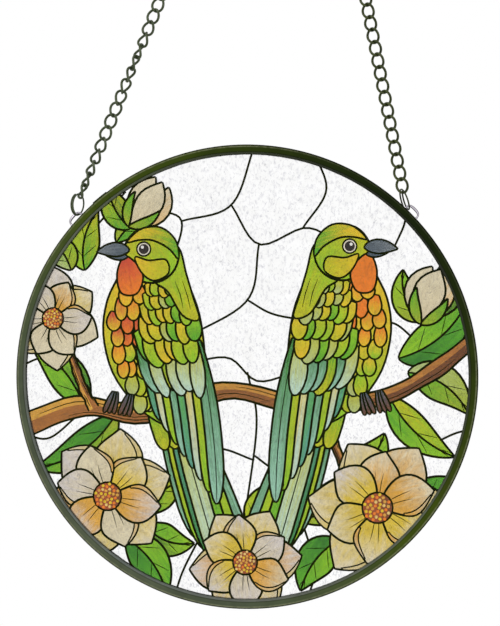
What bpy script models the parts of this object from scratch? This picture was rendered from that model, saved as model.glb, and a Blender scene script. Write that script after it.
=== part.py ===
"""A round window suncatcher: a clear pane in a dark metal rim, hung on two runs of curb chain.

The frame of the model: +Z is up, +X is to the viewer's right and the pane faces -Y. The origin is where a
hook bears, on the inner top of the hanging ring. The pane stands upright in the plane y = 0.
"""

import math

import bmesh
import bpy
from mathutils import Matrix, Vector

# The pane and its rim
RIM_RADIUS = 0.100          # to the outside of the rim
RIM_FACE = 0.0031           # width of the rim's raised face
RIM_LIP = 0.0009            # width of the lower lip inside that face
LIP_DROP = 0.0003           # how far the lip lies below the face
LIP_SLOPE = 0.0002          # width of the slope between them
RIM_EDGE = 0.0007           # rounding of the rim's outer edges
FLANGE = 0.0008             # wall of the rim in front of the pane and behind it
PANE_THICKNESS = 0.0026
PANE_BITE = 0.0026          # how far the pane reaches into the rim
CLEARANCE = 0.0003          # left between pieces that touch
HOOK_CLEARANCE = 0.0004     # left between a link and the ring that it hooks over
RIM_SEGMENTS = 60

# The sleeve that closes the rim, at the upper left
SLEEVE_ANGLE = math.radians(39.3)      # left of the top
SLEEVE_LENGTH = 0.0074
SLEEVE_PROUD = 0.0003
SLEEVE_SKIN = 0.0002                   # wall of the rim left between the sleeve and the groove
SLEEVE_STEPS = 3

# The wire lugs on the rim's edge
LUG_ANGLE_LEFT = math.radians(47.3)    # either side of the top
LUG_ANGLE_RIGHT = math.radians(45.4)
LUG_WIRE = 0.0007
LUG_HALF_WIDTH = 0.0037
LUG_SQUARENESS = 0.7                   # 1 is an ellipse, less is squarer
LUG_POINTS = 9

# The split rings through the lugs
RING_RADIUS = 0.0046                   # to the middle of the wire
RING_WIRE = 0.00072
RING_COIL_GAP = 0.00015
RING_SPREAD = 0.00025                  # more gap in the coil of the right ring
RING_SWEEP = math.radians(490.0)       # length of the coil
RING_STEP = math.radians(22.5)
RING_ROOM = 0.0006                     # between a ring's wire and the rim, where it passes the lug
LUG_ROOM = 0.0009                      # between a ring's wire and the crest of its lug
RING_SLIDE_LEFT = 0.0023               # how far up its lug a ring has slid
RING_SLIDE_RIGHT = 0.0022
RING_LEAN_LEFT = math.radians(4.8)     # of a ring from the vertical, towards the other ring
RING_LEAN_RIGHT = math.radians(18.0)
RING_TURN_LEFT = math.radians(-22.8)   # turn of a ring's axis out of the pane's plane
RING_TURN_RIGHT = math.radians(15.2)
RING_SHIFT_LEFT = math.radians(22.1)   # how far round a ring its lug is from its lowest point
RING_SHIFT_RIGHT = math.radians(-28.3)

# The curb chain
LINK_LENGTH = 0.0074
LINK_WIDTH = 0.0056
LINK_WIRE = 0.0009
LINK_TWIST = math.radians(45.0)        # of each end of a link against its middle
LINK_SQUARENESS = 0.85                 # 1 is an ellipse, less has rounder ends
LINK_STATIONS = 8
LINK_SIDES = 3
LINK_SWELL = 1.25                      # makes up for the flat sides of the wire
LINK_BITE = 0.00012                    # overlap of two links where they touch
LEAN_LEFT = math.radians(22.4)         # of each run from the vertical, towards the other run
LEAN_RIGHT = math.radians(11.0)
TWISTS_LEFT = (                        # share of the way up the left run, and its roll there
    (0.000, math.radians(-90.0)),
    (0.145, math.radians(0.0)),
    (0.271, math.radians(90.0)),
    (0.344, math.radians(180.0)),
    (1.000, math.radians(135.0)),
)

# The ring that both runs hang from
HANG_INNER = 0.0060
HANG_WIRE = 0.0014
HANG_SEGMENTS = 20
HANG_SIDES = 6

HALF_GROOVE = PANE_THICKNESS / 2 + CLEARANCE
HALF_FACE = HALF_GROOVE + FLANGE
HALF_LIP = HALF_FACE - LIP_DROP
SIGHT_RADIUS = RIM_RADIUS - RIM_FACE - LIP_SLOPE - RIM_LIP
PANE_RADIUS = SIGHT_RADIUS + PANE_BITE
GROOVE_RADIUS = PANE_RADIUS + CLEARANCE
RING_STANDOFF = RING_WIRE / 2 + RING_ROOM
LUG_HEIGHT = RING_STANDOFF + RING_WIRE / 2 + LUG_ROOM + LUG_WIRE / 2
HANG_RADIUS = HANG_INNER + HANG_WIRE / 2
AWAY = Vector((0.0, 1.0, 0.0))

NAME = "suncatcher"


def clear_scene():
    """Removes whatever the scene starts with."""
    for thing in list(bpy.data.objects):
        bpy.data.objects.remove(thing, do_unlink=True)


def make_collection(name):
    """A new collection in the scene."""
    group = bpy.data.collections.new(name)
    bpy.context.scene.collection.children.link(group)
    return group


def make_material(name, colour, roughness, metallic=0.0, transmission=0.0):
    """A plain Principled material."""
    material = bpy.data.materials.new(name)
    material.use_nodes = True
    shader = material.node_tree.nodes["Principled BSDF"]
    shader.inputs["Base Color"].default_value = (*colour, 1.0)
    shader.inputs["Roughness"].default_value = roughness
    shader.inputs["Metallic"].default_value = metallic
    shader.inputs["Transmission Weight"].default_value = transmission
    material.diffuse_color = (*colour, 1.0)
    return material


def mesh_object(name, bm, group, material):
    """Turns a bmesh into an object of the collection."""
    mesh = bpy.data.meshes.new(name)
    bm.to_mesh(mesh)
    bm.free()
    thing = bpy.data.objects.new(name, mesh)
    thing.data.materials.append(material)
    group.objects.link(thing)
    return thing


def wire_object(name, points, diameter, group, material, resolution=1):
    """A round wire through the given points, closed by caps."""
    curve = bpy.data.curves.new(name, "CURVE")
    curve.dimensions = "3D"
    curve.bevel_depth = diameter / 2
    curve.bevel_resolution = resolution
    curve.use_fill_caps = True
    spline = curve.splines.new("POLY")
    spline.points.add(len(points) - 1)
    for slot, point in zip(spline.points, points):
        slot.co = (*point, 1.0)
    thing = bpy.data.objects.new(name, curve)
    thing.data.materials.append(material)
    group.objects.link(thing)
    return thing


def union(thing, other, spare):
    """Joins another object to a thing, and keeps the other one out of the model."""
    for group in list(other.users_collection):
        group.objects.unlink(other)
    spare.objects.link(other)
    other.hide_render = True
    other.display_type = "WIRE"
    boolean = thing.modifiers.new("join " + other.name, "BOOLEAN")
    boolean.operation = "UNION"
    boolean.solver = "EXACT"
    boolean.object = other


def on_rim(side, angle):
    """Outward and upward directions of the rim's edge, at an angle to one side of the top."""
    outward = Vector((side * math.sin(angle), 0.0, math.cos(angle)))
    upward = Vector((-side * math.cos(angle), 0.0, math.sin(angle)))
    return outward, upward


def leaning(side, lean):
    """The way up for a thing of one side that leans towards the other side."""
    return Vector((-side * math.sin(lean), 0.0, math.cos(lean)))


def squarer(value, power):
    """Bends a sine or cosine so that an oval gets squarer shoulders."""
    return math.copysign(abs(value) ** power, value)


def to_the_right(direction):
    """The direction square to a run in the pane's plane, to the viewer's right."""
    return Vector((direction.z, 0.0, -direction.x))


class Side:
    """Where the lug, split ring and chain of one side are, seen from the middle of the pane."""

    def __init__(self, side, lug_angle, lean, slide, ring_lean, turn, shift, coil_gap, coil_start):
        self.outward, self.upward = on_rim(side, lug_angle)
        self.foot = self.outward * RIM_RADIUS
        self.run = leaning(side, lean)
        self.coil_pitch = RING_WIRE + coil_gap
        self.coil_start = coil_start
        self.ring_up = leaning(side, ring_lean)
        self.axis = to_the_right(self.ring_up) * math.cos(turn) + AWAY * math.sin(turn)
        self.ring_side = self.axis.cross(self.ring_up)
        hole = self.foot + self.upward * slide + self.outward * RING_STANDOFF
        rise = RING_RADIUS * math.cos(shift)
        self.ring_centre = hole + self.ring_up * rise + self.ring_side * (RING_RADIUS * math.sin(shift))
        self.hitch = hole + self.ring_up * (2 * rise)


LEFT = Side(
    side=-1,
    lug_angle=LUG_ANGLE_LEFT,
    lean=LEAN_LEFT,
    slide=RING_SLIDE_LEFT,
    ring_lean=RING_LEAN_LEFT,
    turn=RING_TURN_LEFT,
    shift=RING_SHIFT_LEFT,
    coil_gap=RING_COIL_GAP,
    coil_start=math.radians(20.0),
)
RIGHT = Side(
    side=1,
    lug_angle=LUG_ANGLE_RIGHT,
    lean=LEAN_RIGHT,
    slide=RING_SLIDE_RIGHT,
    ring_lean=RING_LEAN_RIGHT,
    turn=RING_TURN_RIGHT,
    shift=RING_SHIFT_RIGHT,
    coil_gap=RING_COIL_GAP + RING_SPREAD,
    coil_start=math.radians(200.0),
)


def pane_centre():
    """The middle of the pane, from where the two runs meet, in the middle of the hanging ring."""
    apart = RIGHT.hitch - LEFT.hitch
    turn = LEFT.run.x * RIGHT.run.z - LEFT.run.z * RIGHT.run.x
    run_left = (apart.x * RIGHT.run.z - apart.z * RIGHT.run.x) / turn
    return APEX - LEFT.run * run_left - LEFT.hitch


APEX = Vector((0.0, 0.0, -HANG_INNER))
PANE_CENTRE = pane_centre()


def make_pane(group, material):
    """The round pane, a flat disc upright in the rim's groove."""
    bm = bmesh.new()
    bmesh.ops.create_cone(
        bm,
        cap_ends=True,
        segments=RIM_SEGMENTS,
        radius1=PANE_RADIUS,
        radius2=PANE_RADIUS,
        depth=PANE_THICKNESS,
    )
    pane = mesh_object("glass_disc", bm, group, material)
    pane.location = PANE_CENTRE
    pane.rotation_euler.x = math.radians(90.0)
    return pane


def rim_profile():
    """The section of the rim as (radius, depth), down its outer side and back up the inner one."""
    front = [
        (RIM_RADIUS, -(HALF_FACE - RIM_EDGE)),
        (RIM_RADIUS - RIM_EDGE, -HALF_FACE),
        (RIM_RADIUS - RIM_FACE, -HALF_FACE),
        (RIM_RADIUS - RIM_FACE - LIP_SLOPE, -HALF_LIP),
        (SIGHT_RADIUS, -HALF_LIP),
        (SIGHT_RADIUS, -HALF_GROOVE),
        (GROOVE_RADIUS, -HALF_GROOVE),
    ]
    back = [(radius, -depth) for radius, depth in reversed(front)]
    return front + back


def make_rim(group, spare, material):
    """The channel round the pane, turned from its section, with the sleeve joined to it."""
    bm = bmesh.new()
    ring = [bm.verts.new((radius, 0.0, depth)) for radius, depth in rim_profile()]
    for start, end in zip(ring, ring[1:] + ring[:1]):
        bm.edges.new((start, end))
    rim = mesh_object("rim", bm, group, material)
    screw = rim.modifiers.new("turn", "SCREW")
    screw.axis = "Z"
    screw.angle = math.tau
    screw.steps = RIM_SEGMENTS
    screw.render_steps = RIM_SEGMENTS
    screw.use_merge_vertices = True
    screw.merge_threshold = 0.00001
    rim.location = PANE_CENTRE
    rim.rotation_euler.x = math.radians(90.0)
    union(rim, make_sleeve(group, material), spare)
    return rim


def make_sleeve(group, material):
    """The short sleeve that wraps the rim where its ends meet, bent to the rim's round."""
    proud = HALF_FACE + SLEEVE_PROUD
    sunk = HALF_GROOVE + SLEEVE_SKIN
    outer = RIM_RADIUS + SLEEVE_PROUD
    wall = RIM_RADIUS - (FLANGE - SLEEVE_SKIN)
    inner = RIM_RADIUS - RIM_FACE
    half = [(inner, sunk), (inner, proud), (outer, proud)]
    section = half + [(radius, -depth) for radius, depth in reversed(half)]
    section += [(wall, -sunk), (wall, sunk)]
    sweep = SLEEVE_LENGTH / RIM_RADIUS
    start = math.radians(90.0) + SLEEVE_ANGLE - sweep / 2
    bm = bmesh.new()
    ring = [bm.verts.new((radius, 0.0, depth)) for radius, depth in section]
    face = bm.faces.new(ring)
    bmesh.ops.rotate(bm, verts=ring, matrix=Matrix.Rotation(start, 3, "Z"))
    bmesh.ops.spin(
        bm,
        geom=[face, *face.edges, *face.verts],
        cent=(0.0, 0.0, 0.0),
        axis=(0.0, 0.0, 1.0),
        angle=sweep,
        steps=SLEEVE_STEPS,
        use_duplicate=False,
    )
    bmesh.ops.recalc_face_normals(bm, faces=bm.faces)
    sleeve = mesh_object("rim_sleeve", bm, group, material)
    sleeve.location = PANE_CENTRE
    sleeve.rotation_euler.x = math.radians(90.0)
    return sleeve


def make_lug(name, place, group, material):
    """A low arch of wire whose feet stand on the rim's edge."""
    points = []
    for step in range(LUG_POINTS):
        turn = math.pi * step / (LUG_POINTS - 1)
        along = place.upward * (LUG_HALF_WIDTH * squarer(math.cos(turn), LUG_SQUARENESS))
        rise = CLEARANCE + (LUG_HEIGHT - CLEARANCE) * squarer(math.sin(turn), LUG_SQUARENESS)
        points.append(PANE_CENTRE + place.foot + along + place.outward * rise)
    return wire_object(name, points, LUG_WIRE, group, material)


def make_ring(name, place, group, material):
    """A split ring: a flat coil of wire, one turn and a bit long."""
    steps = round(RING_SWEEP / RING_STEP)
    points = []
    for step in range(steps + 1):
        share = step / steps
        turn = place.coil_start + RING_SWEEP * share
        point = PANE_CENTRE + place.ring_centre
        point += place.ring_up * (RING_RADIUS * math.cos(turn))
        point += place.ring_side * (RING_RADIUS * math.sin(turn))
        point += place.axis * (place.coil_pitch * RING_SWEEP / math.tau * (share - 0.5))
        points.append(point)
    return wire_object(name, points, RING_WIRE, group, material)


def add_link(bm, centre, run, roll, length):
    """One curb link: a closed oval of wire whose ends are twisted opposite ways."""
    reach = length / 2 - LINK_WIRE / 2
    half_width = LINK_WIDTH / 2 - LINK_WIRE / 2
    radius = LINK_WIRE / 2 * LINK_SWELL
    across = to_the_right(run).normalized()
    away = run.cross(across)

    def middle(turn):
        along = squarer(math.cos(turn), LINK_SQUARENESS)
        aside = squarer(math.sin(turn), LINK_SQUARENESS)
        twist = roll - LINK_TWIST * along
        sideways = across * math.cos(twist) + away * math.sin(twist)
        return run * (reach * along) + sideways * (half_width * aside)

    rows = []
    for station in range(LINK_STATIONS):
        turn = math.tau * station / LINK_STATIONS
        point = middle(turn)
        tangent = (middle(turn + 0.01) - middle(turn - 0.01)).normalized()
        outward = (point - tangent * point.dot(tangent)).normalized()
        square = tangent.cross(outward)
        row = []
        for side in range(LINK_SIDES):
            spin = math.pi + math.tau * side / LINK_SIDES
            offset = outward * (radius * math.cos(spin)) + square * (radius * math.sin(spin))
            row.append(bm.verts.new(centre + point + offset))
        rows.append(row)
    for row, following in zip(rows, rows[1:] + rows[:1]):
        for side in range(LINK_SIDES):
            after = (side + 1) % LINK_SIDES
            bm.faces.new((row[side], row[after], following[after], following[side]))


def make_chain(name, place, roll, group, spare, material):
    """A run of curb chain from a split ring up to the hanging ring, all its links fused."""
    base = PANE_CENTRE + place.hitch
    run_length = (APEX - base).length
    run = (APEX - base).normalized()
    radius = LINK_WIRE / 2 * LINK_SWELL
    hooked = radius + HOOK_CLEARANCE
    first = -RING_WIRE / 2 - hooked
    last = run_length - (HANG_RADIUS - HANG_WIRE / 2 - hooked)
    span = last - first
    overlap = 2 * radius - LINK_BITE
    # Each link's middle line is as long as its share of the span and one overlap at each junction.
    nominal = LINK_LENGTH - LINK_WIRE - overlap
    count = round((span - overlap) / nominal)
    pitch = (span - overlap) / count
    length = pitch + overlap + LINK_WIRE
    parts = [bmesh.new(), bmesh.new()]
    for index in range(count):
        distance = first + (length - LINK_WIRE) / 2 + pitch * index
        add_link(parts[index % 2], base + run * distance, run, roll(distance / run_length), length)
    for bm in parts:
        bmesh.ops.recalc_face_normals(bm, faces=bm.faces)
    chain = mesh_object(name, parts[0], group, material)
    union(chain, mesh_object(name + "_other_links", parts[1], group, material), spare)
    return chain


def roll_left(share):
    """The left run hangs twisted: its edge faces the viewer near its ring and again further up."""
    for (low, low_roll), (high, high_roll) in zip(TWISTS_LEFT, TWISTS_LEFT[1:]):
        if share < high:
            break
    part = min(1.0, max(0.0, (share - low) / (high - low)))
    return low_roll + (high_roll - low_roll) * part


def roll_right(share):
    """The right run shows its broad side, and turns a little on its way to the hanging ring."""
    return math.radians(-45.0) * share * share


def make_hanging_ring(group, material):
    """The plain closed ring at the top."""
    bpy.ops.mesh.primitive_torus_add(
        major_segments=HANG_SEGMENTS,
        minor_segments=HANG_SIDES,
        major_radius=HANG_RADIUS,
        minor_radius=HANG_WIRE / 2,
        location=APEX,
        rotation=(math.radians(90.0), 0.0, 0.0),
    )
    ring = bpy.context.object
    ring.name = "hanging_ring"
    ring.data.materials.append(material)
    for holder in list(ring.users_collection):
        holder.objects.unlink(ring)
    group.objects.link(ring)
    return ring


def smooth(thing, angle=35.0):
    """Shades a mesh smooth, apart from its sharp edges."""
    thing.data.shade_smooth()
    thing.data.set_sharp_from_angle(angle=math.radians(angle))


def main():
    clear_scene()
    group = make_collection(NAME)
    spare = make_collection(NAME + " joined pieces")
    glass = make_material("clear glass", (0.93, 0.95, 0.93), 0.08, transmission=1.0)
    dark_paint = make_material("dark olive paint", (0.055, 0.070, 0.030), 0.42, metallic=0.3)
    chain_metal = make_material("dark olive plate", (0.060, 0.072, 0.035), 0.38, metallic=0.6)
    bright_wire = make_material("bright wire", (0.62, 0.62, 0.62), 0.25, metallic=1.0)
    pane = make_pane(group, glass)
    rim = make_rim(group, spare, dark_paint)
    make_lug("lug_left", LEFT, group, bright_wire)
    make_lug("lug_right", RIGHT, group, bright_wire)
    make_ring("ring_left", LEFT, group, chain_metal)
    make_ring("ring_right", RIGHT, group, chain_metal)
    make_chain("chain_left", LEFT, roll_left, group, spare, chain_metal)
    make_chain("chain_right", RIGHT, roll_right, group, spare, chain_metal)
    hanging = make_hanging_ring(group, chain_metal)
    for thing in (pane, rim, hanging):
        smooth(thing)


main()
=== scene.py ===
"""The looks of a round window suncatcher: a printed pane in a dark rim, on two runs of curb chain."""

import math
import random

import bpy
import numpy as np
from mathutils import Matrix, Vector
from mathutils.geometry import delaunay_2d_cdt


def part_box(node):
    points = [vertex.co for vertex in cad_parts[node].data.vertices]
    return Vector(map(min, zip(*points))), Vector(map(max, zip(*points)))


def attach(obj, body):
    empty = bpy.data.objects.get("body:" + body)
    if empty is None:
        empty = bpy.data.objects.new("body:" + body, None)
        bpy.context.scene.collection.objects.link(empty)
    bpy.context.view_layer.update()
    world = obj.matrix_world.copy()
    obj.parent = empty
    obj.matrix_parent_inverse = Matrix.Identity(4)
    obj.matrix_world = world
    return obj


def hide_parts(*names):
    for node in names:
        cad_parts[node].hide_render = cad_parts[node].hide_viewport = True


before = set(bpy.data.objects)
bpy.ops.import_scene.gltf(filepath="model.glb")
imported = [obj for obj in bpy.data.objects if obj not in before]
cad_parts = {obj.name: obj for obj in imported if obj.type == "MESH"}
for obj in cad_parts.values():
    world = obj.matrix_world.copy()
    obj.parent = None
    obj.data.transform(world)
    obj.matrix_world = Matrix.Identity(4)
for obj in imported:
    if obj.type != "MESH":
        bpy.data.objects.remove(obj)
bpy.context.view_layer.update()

MM = 0.001

# Places that the frame gives: the middle of the pane and the rim's outer radius
RIM_LOW, RIM_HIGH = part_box("rim")
CENTRE = (RIM_LOW + RIM_HIGH) / 2
RIM_RADIUS = (RIM_HIGH.x - RIM_LOW.x) / 2
PANE_LOW, PANE_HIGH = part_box("glass_disc")
PANE_RADIUS = (PANE_HIGH.x - PANE_LOW.x) / 2
PANE_FRONT = PANE_LOW.y
PANE_BACK = PANE_HIGH.y

# The rim's section
RIM_FACE = 3.1 * MM
RIM_LIP = 0.9 * MM
LIP_SLOPE = 0.2 * MM
LIP_DROP = 0.3 * MM
RIM_EDGE = 0.7 * MM
FLANGE = 0.8 * MM
FACE_ROUNDING = 0.15 * MM
FOOT_ROUNDING = 0.12 * MM
LIP_ROUNDING = 0.20 * MM
CLEARANCE = 0.3 * MM
HALF_GROOVE = PANE_BACK + CLEARANCE
HALF_FACE = HALF_GROOVE + FLANGE
HALF_LIP = HALF_FACE - LIP_DROP
SIGHT_RADIUS = RIM_RADIUS - RIM_FACE - LIP_SLOPE - RIM_LIP
GROOVE_RADIUS = PANE_RADIUS + CLEARANCE
SLEEVE_ANGLE = math.radians(39.3)
SLEEVE_LENGTH = 7.4 * MM
SLEEVE_PROUD = 0.3 * MM
SLEEVE_GAP = 0.01 * MM
RIM_SEGMENTS = 240
SLEEVE_SEGMENTS = 16

# The wire lugs, split rings and chain. The sizes are the solids', but the lugs are narrower and flattened,
# the links are round wire, and the left run turns about one link lower down.
LUG_WIRE = 0.7 * MM
LUG_HALF_WIDTH = 3.2 * MM
LUG_FOOT = 0.05 * MM
LUG_BAND = 0.6 * MM                    # half the width of a lug's wire where it is flattened
LUG_SQUARENESS = 0.7
RING_RADIUS = 4.6 * MM
RING_WIRE = 0.72 * MM
RING_SWEEP = math.radians(490.0)
RING_ROOM = 0.6 * MM
LUG_ROOM = 0.9 * MM
RING_STANDOFF = RING_WIRE / 2 + RING_ROOM
LUG_HEIGHT = RING_STANDOFF + RING_WIRE / 2 + LUG_ROOM + LUG_WIRE - LUG_BAND
LINK_LENGTH = 7.4 * MM
LINK_WIDTH = 5.6 * MM
LINK_WIRE = 0.9 * MM
LINK_TWIST = math.radians(45.0)
LINK_SQUARENESS = 0.85
TWISTS_LEFT = (                        # share of the way up the left run, and its roll there
    (0.000, math.radians(-90.0)),
    (0.125, math.radians(0.0)),
    (0.250, math.radians(90.0)),
    (0.324, math.radians(180.0)),
    (1.000, math.radians(135.0)),
)
ROUND_WIRE = 1.12 * MM                 # the links' wire; the solid's three-sided wire is as thick
SOLID_SWELL = 1.25
SOLID_BITE = 0.12 * MM
HOOK_CLEARANCE = 0.4 * MM
LINK_STATIONS = 26
LINK_SIDES = 10
WIRE_SIDES = 14
HANG_INNER = 6.0 * MM
HANG_WIRE = 1.4 * MM
HANG_RADIUS = HANG_INNER + HANG_WIRE / 2
APEX = Vector((0.0, 0.0, -HANG_INNER))
AWAY = Vector((0.0, 1.0, 0.0))

# The print and the pane behind it
FILM = 0.10 * MM
FILM_GAP = 0.02 * MM
PANE_RINGS = 60
PANE_SEGMENTS = 192
PANE_RELIEF = 0.05 * MM
PANE_WAVES = 16
PRINT_RADIUS = 97.0                    # in millimetres, as the whole picture is drawn
PRINT_SEGMENTS = 180
PETALS = 6                             # in each ring of a blossom
PETAL_RINGS = ((1.0, 0.40), (0.80, 0.31))    # how far each ring's petals reach, and how broad they are
BIRD_SIZE = 1.22
BIRD_LEAN = math.radians(9.0)
INK_SPREAD = 0.42                      # how much wider than drawn the dark lines are printed
WARM_REACH = 0.35                      # how far along a warm petal its root's colour stays full
FIRST_SLACK = 0.02                     # how near points are taken as one when the disc is first cut
LAST_SLACK = 0.0001
SHARP_TURN = math.radians(50.0)        # where a dark line is cut in two


def link_object(thing):
    """Puts a new object into the scene."""
    bpy.context.scene.collection.objects.link(thing)
    return thing


def mesh_piece(name, points, faces, materials, node, smooth_angle=40.0):
    """A mesh that stands for a CAD node and rides on the one body."""
    mesh = bpy.data.meshes.new(name)
    mesh.from_pydata([tuple(point) for point in points], [], faces)
    mesh.validate()
    mesh.shade_smooth()
    mesh.set_sharp_from_angle(angle=math.radians(smooth_angle))
    for material in materials:
        mesh.materials.append(material)
    piece = link_object(bpy.data.objects.new(name, mesh))
    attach(piece, "root")
    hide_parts(node)
    return piece


# Tubes and turned shapes


def tube(middles, radius, sides, closed, swell=None):
    """The points and faces of a round wire along a line of points; swell gives its size along the way."""
    count = len(middles)
    middles = [Vector(point) for point in middles]
    points, faces = [], []
    square = None
    rows = []
    for index, middle in enumerate(middles):
        if closed:
            ahead, behind = middles[(index + 1) % count], middles[index - 1]
        else:
            ahead, behind = middles[min(index + 1, count - 1)], middles[max(index - 1, 0)]
        tangent = (ahead - behind).normalized()
        if square is None:
            square = tangent.orthogonal()
        square = (square - tangent * square.dot(tangent)).normalized()
        rows.append((middle, tangent, square.copy()))
    slip = 0.0
    if closed:
        tangent, first = rows[0][1], rows[0][2]
        last = (square - tangent * square.dot(tangent)).normalized()
        slip = math.atan2(tangent.dot(last.cross(first)), last.dot(first))
    for index, (middle, tangent, square) in enumerate(rows):
        other = tangent.cross(square)
        size = radius if swell is None else radius * swell(index / (count - 1))
        for side in range(sides):
            angle = math.tau * side / sides + slip * index / count
            points.append(middle + (square * math.cos(angle) + other * math.sin(angle)) * size)
    last_row = count if closed else count - 1
    for row in range(last_row):
        for side in range(sides):
            after = (side + 1) % sides
            low, high = row * sides, (row + 1) % count * sides
            faces.append((low + side, low + after, high + after, high + side))
    if not closed:
        faces.append(tuple(reversed(range(sides))))
        faces.append(tuple(range((count - 1) * sides, count * sides)))
    return points, faces


def turned(section, segments, start=0.0, sweep=math.tau):
    """Turns a closed section of (radius, depth) about the pane's axis, front at -Y."""
    whole = sweep >= math.tau
    rows = segments if whole else segments + 1
    size = len(section)
    points, faces = [], []
    for row in range(rows):
        angle = start + sweep * row / segments
        for radius, depth in section:
            points.append(CENTRE + Vector((radius * math.cos(angle), depth, radius * math.sin(angle))))
    for row in range(segments):
        low, high = row * size, (row + 1) % rows * size
        for index in range(size):
            after = (index + 1) % size
            faces.append((low + index, high + index, high + after, low + after))
    if not whole:
        faces.append(tuple(range(size)))
        faces.append(tuple(reversed(range(segments * size, (segments + 1) * size))))
    return points, faces


def add_mesh(points, faces, more):
    """Adds another mesh's points and faces to a pair of lists."""
    shift = len(points)
    points.extend(more[0])
    faces.extend(tuple(index + shift for index in face) for face in more[1])


def rounded(corner, before, after, radius, steps=4):
    """Points that round a corner of a section."""
    corner, before, after = (Vector(point) for point in (corner, before, after))
    start = corner + (before - corner).normalized() * radius
    end = corner + (after - corner).normalized() * radius
    points = []
    for step in range(steps + 1):
        share = step / steps
        point = start * (1 - share) ** 2 + corner * (2 * share * (1 - share)) + end * share ** 2
        points.append(tuple(point))
    return points


def round_section(corners, radii):
    """A closed section with each corner rounded by its own radius."""
    points = []
    for index, (corner, radius) in enumerate(zip(corners, radii)):
        before, after = corners[index - 1], corners[(index + 1) % len(corners)]
        points += rounded(corner, before, after, radius) if radius else [corner]
    return points


# Materials


def linear(code):
    """A colour written as in a picture editor, in the renderer's linear values."""
    values = [int(code[index:index + 2], 16) / 255 for index in (1, 3, 5)]
    return tuple(v / 12.92 if v <= 0.04045 else ((v + 0.055) / 1.055) ** 2.4 for v in values)


def rgba(value):
    """Four numbers for a colour's code or for a grey."""
    colour = linear(value) if isinstance(value, str) else (value, value, value)
    return (*colour, 1.0)


class Finish:
    """A node material in the making, with its patterns laid out in the object's own space."""

    def __init__(self, name):
        self.material = bpy.data.materials.new(name)
        self.material.use_nodes = True
        self.nodes = self.material.node_tree.nodes
        self.place = self.nodes.new("ShaderNodeTexCoord").outputs["Object"]

    def feed(self, socket, value):
        """Links a node's output to a socket, or writes a plain value into the socket."""
        if isinstance(value, bpy.types.NodeSocket):
            self.material.node_tree.links.new(value, socket)
        else:
            socket.default_value = rgba(value) if socket.type == "RGBA" else value

    def node(self, kind, inputs, **settings):
        """A new node: its settings, then what goes into its sockets."""
        made = self.nodes.new(kind)
        for name, setting in settings.items():
            setattr(made, name, setting)
        for name, value in inputs.items():
            self.feed(made.inputs[name], value)
        return made

    def noise(self, scale, detail, vector=None, distortion=0.0):
        """A noise over the object's own space, or over another vector."""
        place = self.place if vector is None else vector
        inputs = {"Vector": place, "Scale": scale, "Detail": detail, "Distortion": distortion}
        return self.node("ShaderNodeTexNoise", inputs).outputs["Fac"]

    def ramp(self, value, stops):
        """A colour ramp over (place, colour or grey) stops."""
        made = self.node("ShaderNodeValToRGB", {"Fac": value})
        elements = made.color_ramp.elements
        while len(elements) < len(stops):
            elements.new(0.5)
        for element, (place, colour) in zip(elements, stops):
            element.position = place
            element.color = rgba(colour)
        return made.outputs["Color"]

    def mix(self, factor, first, second, kind="MIX"):
        """A mix of two colours, which are sockets 6 and 7 of the mix node. Output 2 is the result."""
        inputs = {0: factor, 6: first, 7: second}
        return self.node("ShaderNodeMix", inputs, data_type="RGBA", blend_type=kind).outputs[2]

    def times(self, first, second):
        """One colour times another."""
        return self.mix(1.0, first, second, "MULTIPLY")

    def vector(self, operation, first, second=None):
        """One step of vector arithmetic with a plain second value."""
        inputs = {0: first} if second is None else {0: first, 1: second}
        made = self.node("ShaderNodeVectorMath", inputs, operation=operation)
        return made.outputs["Value" if operation in ("LENGTH", "DOT_PRODUCT") else "Vector"]

    def onto_unit(self, value, low, high):
        """Brings a number from low to high onto 0 to 1."""
        inputs = {"Value": value, "From Min": low, "From Max": high}
        return self.node("ShaderNodeMapRange", inputs).outputs["Result"]

    def geometry(self, output):
        """One value of the surface's own geometry."""
        return self.node("ShaderNodeNewGeometry", {}).outputs[output]

    def attribute(self, name, output):
        """One of the values that the mesh carries."""
        return self.node("ShaderNodeAttribute", {}, attribute_name=name).outputs[output]

    def relief(self, height, strength, distance):
        """The shader's normal for a pattern of heights."""
        inputs = {"Strength": strength, "Distance": distance, "Height": height}
        return self.node("ShaderNodeBump", inputs).outputs["Normal"]

    def surface(self, values):
        """Gives the shader its values."""
        shader = self.nodes["Principled BSDF"]
        for name, value in values.items():
            self.feed(shader.inputs[name], value)
        return self.material


def coated_metal(name, dark, middle, sheen, roughness):
    """A dark coat on metal: uneven in tone, paler on its sharp edges as painted highlight and wear, with a
    fine orange-peel relief.
    """
    finish = Finish(name)
    tone = finish.ramp(finish.noise(90.0, 4.0, distortion=0.4), [(0.30, dark), (0.68, middle)])
    grit = finish.noise(900.0, 2.0)
    # Painted highlight and wear: the sharp edges take the paler colour, broken up by grit
    highlight_and_wear = finish.ramp(finish.geometry("Pointiness"), [(0.52, 0.0), (0.60, 0.75)])
    highlight_and_wear = finish.times(highlight_and_wear, finish.ramp(grit, [(0.38, 0.0), (0.62, 1.0)]))
    values = {
        "Base Color": finish.mix(highlight_and_wear, tone, sheen),
        "Roughness": finish.ramp(grit, [(0.3, roughness - 0.08), (0.7, roughness + 0.10)]),
        "Metallic": 0.4,
        "Specular IOR Level": 0.3,
        "Normal": finish.relief(finish.noise(2600.0, 3.0), 0.25, 0.04 * MM),
    }
    return finish.surface(values)


def around_rim(finish):
    """How far out across the rim a point lies, and how far round from its upper right to its lower left."""
    offset = finish.vector("SUBTRACT", finish.place, tuple(CENTRE))
    flat = finish.vector("MULTIPLY", offset, (1.0, 0.0, 1.0))
    across = finish.onto_unit(finish.vector("LENGTH", flat), SIGHT_RADIUS, RIM_RADIUS)
    lower_left = (-math.sqrt(0.5), 0.0, -math.sqrt(0.5))
    below = finish.vector("DOT_PRODUCT", finish.vector("NORMALIZE", flat), lower_left)
    return across, finish.onto_unit(below, -1.0, 1.0)


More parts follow.
